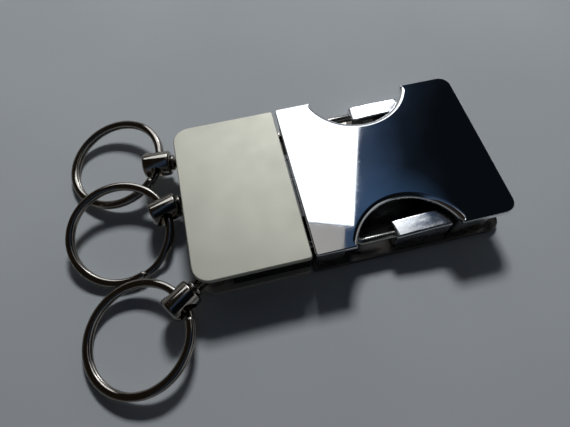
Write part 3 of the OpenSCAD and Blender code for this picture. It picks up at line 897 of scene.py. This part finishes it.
music_wire = music_wire_finish()
coils = coil_pattern()
coil_r, coil_wire = 1.1 * MM, 0.19 * MM
for name in ("return_spring_far", "return_spring_near"):
    low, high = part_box(name)
    middle = [(low[0] + high[0]) / 2, low[1] + coil_wire, (low[2] + high[2]) / 2]
    mesh = lay_out([middle], middle[2], coils, {"Turns": 5.0, "Coil radius": coil_r, "Wire radius": coil_wire,
                                                "Travel": high[1] - low[1] - 2 * coil_wire})
    coil = fit_piece(name + "_coil", shaped(mesh), music_wire, "spring_steel", "housing", name)
    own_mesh(coil)


# ---------------------------------------------------------------- swivel studs
# Turned nickel-plated studs: a bush on the pin, a thin neck, a small collar and the
# riveted head that holds the barrel.

def nickel_finish():
    made, tree, shader, coords = material("nickel_plate")
    tint = ramp(tree, noise(tree, coords, 2, 3), [(0.3, linear("#9b968f")), (0.7, linear("#aaa59d"))])
    tree.links.new(tint, shader.inputs["Base Color"])
    rough = ramp(tree, noise(tree, coords, 1.1, 4), [(0.3, 0.06), (0.7, 0.14)])
    tree.links.new(rough, shader.inputs["Roughness"])
    bump(tree, shader, noise(tree, coords, 0.7, 3), 0.006, 0.3)
    return made


nickel_plate = nickel_finish()


def turned(profile, sides=48):
    """A turned shape about the X axis from (distance, radius) points; it is closed at both ends."""
    made = bmesh.new()
    loops = [[made.verts.new((x, r * math.cos(math.tau * j / sides), r * math.sin(math.tau * j / sides)))
              for j in range(sides)] for x, r in profile]
    for lower, upper in zip(loops, loops[1:]):
        for j in range(sides):
            m = (j + 1) % sides
            made.faces.new((lower[j], upper[j], upper[m], lower[m]))
    made.faces.new(loops[0][::-1])
    made.faces.new(loops[-1])
    bmesh.ops.recalc_face_normals(made, faces=made.faces)
    mesh = bpy.data.meshes.new("turned")
    made.to_mesh(mesh)
    made.free()
    return mesh


def swivel_frame(n, roll=0.0):
    """The frame of swivel n: origin on its pin, X out along the stud, Z up, rolled about X."""
    out = Vector(joints["spin_%d" % n]["axis"])
    place = Vector(joints["swing_%d" % n]["pos_m"])
    side = Vector((0, 0, 1)).cross(out)
    base = Matrix((out, side, Vector((0, 0, 1)))).transposed().to_4x4()
    return Matrix.Translation(place) @ base @ Matrix.Rotation(math.radians(roll), 4, "X")


def joined(*meshes):
    """Several meshes as one."""
    made = bmesh.new()
    for mesh in meshes:
        made.from_mesh(mesh)
    whole = bpy.data.meshes.new("joined")
    made.to_mesh(whole)
    made.free()
    return whole


barrel_at, barrel_l, barrel_r = 5.2 * MM, 5.9 * MM, 2.7 * MM
neck_r, bush_r, head_r = 1.2 * MM, 2.3 * MM, 1.5 * MM
for n in (1, 2, 3):
    node = "stud_%d" % n
    low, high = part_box(node)
    half_bush = (high[2] - low[2]) / 2
    c = 0.25 * MM
    bush = turned([(-half_bush, bush_r - c), (-half_bush + c, bush_r),
                   (half_bush - c, bush_r), (half_bush, bush_r - c)])
    bush.transform(Matrix.Rotation(math.radians(90), 4, "Y"))
    bush = drilled(bush, (0, 0, 0), pin_r + swivel_play)
    collar_r, collar_at = neck_r + 0.5 * MM, barrel_at - 0.75 * MM
    collar_end, head_at = collar_at + 0.7 * MM, barrel_at + 1.05 * MM
    neck = turned([(1.4 * MM, neck_r), (collar_at, neck_r),
                   (collar_at, collar_r - c / 2), (collar_at + c / 2, collar_r),
                   (collar_end - c / 2, collar_r), (collar_end, collar_r - c / 2),
                   (collar_end, neck_r), (head_at, neck_r), (head_at, head_r),
                   (head_at + 0.45 * MM, head_r), (head_at + 0.6 * MM, head_r - c)])
    stud = joined(bush, neck)
    stud.transform(swivel_frame(n))
    fit_piece(node + "_turned", shaped(stud, FLAT_FACES), nickel_plate, "nickel", node, node)


# ---------------------------------------------------------------- swivel barrels
# A turned barrel spins on each stud. A cross hole near its free end takes the
# split ring, and its rim is broken so that the ring doesn't catch.

barrel_roll = {1: -3.4, 2: -3.9, 3: -2.4}
cross_r, free_wall, barrel_wall, spin_play = 2 * MM, 0.6 * MM, 1 * MM, 0.1 * MM
cross_at = barrel_at + barrel_l - free_wall - cross_r
for n in (1, 2, 3):
    soft = 0.6 * MM
    quarter = [math.radians(a) for a in range(0, 91, 15)]
    rims = [(soft * (1 - math.sin(a)), barrel_r - soft * (1 - math.cos(a))) for a in quarter]
    profile = [(barrel_at + along_x, r) for along_x, r in rims[::-1]]
    profile += [(barrel_at + barrel_l - along_x, r) for along_x, r in rims]
    seat = [(barrel_at - barrel_wall, neck_r + spin_play), (barrel_at + barrel_wall, neck_r + spin_play),
            (barrel_at + barrel_wall, head_r + spin_play), (cross_at, head_r + spin_play)]
    bore = turned([(-2 * barrel_r, cross_r), (2 * barrel_r, cross_r)], 48)
    bore.transform(Matrix.Translation((cross_at, 0, 0)) @ Matrix.Rotation(math.radians(90), 4, "Z"))
    cutters = []
    for shape in (turned(seat, 32), bore):
        cutter = bpy.data.objects.new("cutter", shape)
        bpy.context.collection.objects.link(cutter)
        cutters.append(cutter)
    cuts = [("BOOLEAN", {"object": cutter, "solver": "EXACT"}) for cutter in cutters]
    barrel = shaped(turned(profile, 64), *cuts,
                    ("BEVEL", {"width": 0.14 * MM, "segments": 3, "limit_method": "ANGLE",
                               "angle_limit": math.radians(40), "harden_normals": True}))
    for cutter in cutters:
        bpy.data.objects.remove(cutter)
    barrel.transform(swivel_frame(n, barrel_roll[n]))
    node = "barrel_%d" % n
    fit_piece(node + "_turned", barrel, nickel_plate, "nickel", node, node)


# ---------------------------------------------------------------- split rings
# Two turns of flattened spring wire, coiled tight, nickel plated. The wire steps from
# the lower turn to the upper one between its two cut ends.

ring_r, wire_w, turn_h = 11 * MM, 1.6 * MM, 0.88 * MM


def split_ring_mesh():
    """One split ring about the Z axis, its split at zero degrees."""
    step_start, step_end, stop = 334.0, 357.0, 682.0
    count, end_step = 240, 0.12 * MM
    half_w, half_h = wire_w / 2 - 0.01 * MM, turn_h / 2 - 0.008 * MM
    section, sides = [], 28
    for k in range(sides):
        c, d = math.cos(math.tau * k / sides), math.sin(math.tau * k / sides)
        section.append((half_w * math.copysign(abs(c) ** 0.92, c), half_h * math.copysign(abs(d) ** 0.92, d)))
    made = bmesh.new()
    loops = []
    for k in range(count + 1):
        angle = stop * k / count
        t = min(max((angle - step_start) / (step_end - step_start), 0), 1)
        rise = turn_h * (t * t * (3 - 2 * t)) - turn_h / 2
        a, middle_r = math.radians(angle), ring_r - wire_w / 2
        loops.append([made.verts.new(((middle_r + u) * math.cos(a), (middle_r + u) * math.sin(a), rise + v))
                      for u, v in section])
    for lower, upper in zip(loops, loops[1:]):
        for j in range(sides):
            m = (j + 1) % sides
            made.faces.new((lower[j], lower[m], upper[m], upper[j]))
    for loop in (loops[0], loops[-1]):
        middle = sum((v.co for v in loop), Vector()) / sides
        way = Vector((-middle.y, middle.x, 0)).normalized() * (end_step if loop is loops[-1] else -end_step)
        inner = [made.verts.new(middle + (v.co - middle) * 0.8 + way) for v in loop]
        for j in range(sides):
            m = (j + 1) % sides
            made.faces.new((loop[j], loop[m], inner[m], inner[j]))
        made.faces.new(inner)
    bmesh.ops.recalc_face_normals(made, faces=made.faces)
    mesh = bpy.data.meshes.new("split_ring")
    made.to_mesh(mesh)
    made.free()
    return mesh


split_turn = {1: -5, 2: 330, 3: 42}
for n in (1, 2, 3):
    normal = Vector(joints["turn_%d" % n]["axis"])
    place = Vector(joints["turn_%d" % n]["pos_m"])
    x_way = (Vector((1, 0, 0)) - normal * normal.x).normalized()
    base = Matrix((x_way, normal.cross(x_way), normal)).transposed().to_4x4()
    ring = split_ring_mesh()
    ring.transform(Matrix.Translation(place) @ base @ Matrix.Rotation(math.radians(split_turn[n]), 4, "Z"))
    node = "split_ring_%d" % n
    fit_piece(node + "_wire", shaped(ring), nickel_plate, "nickel", node, node)
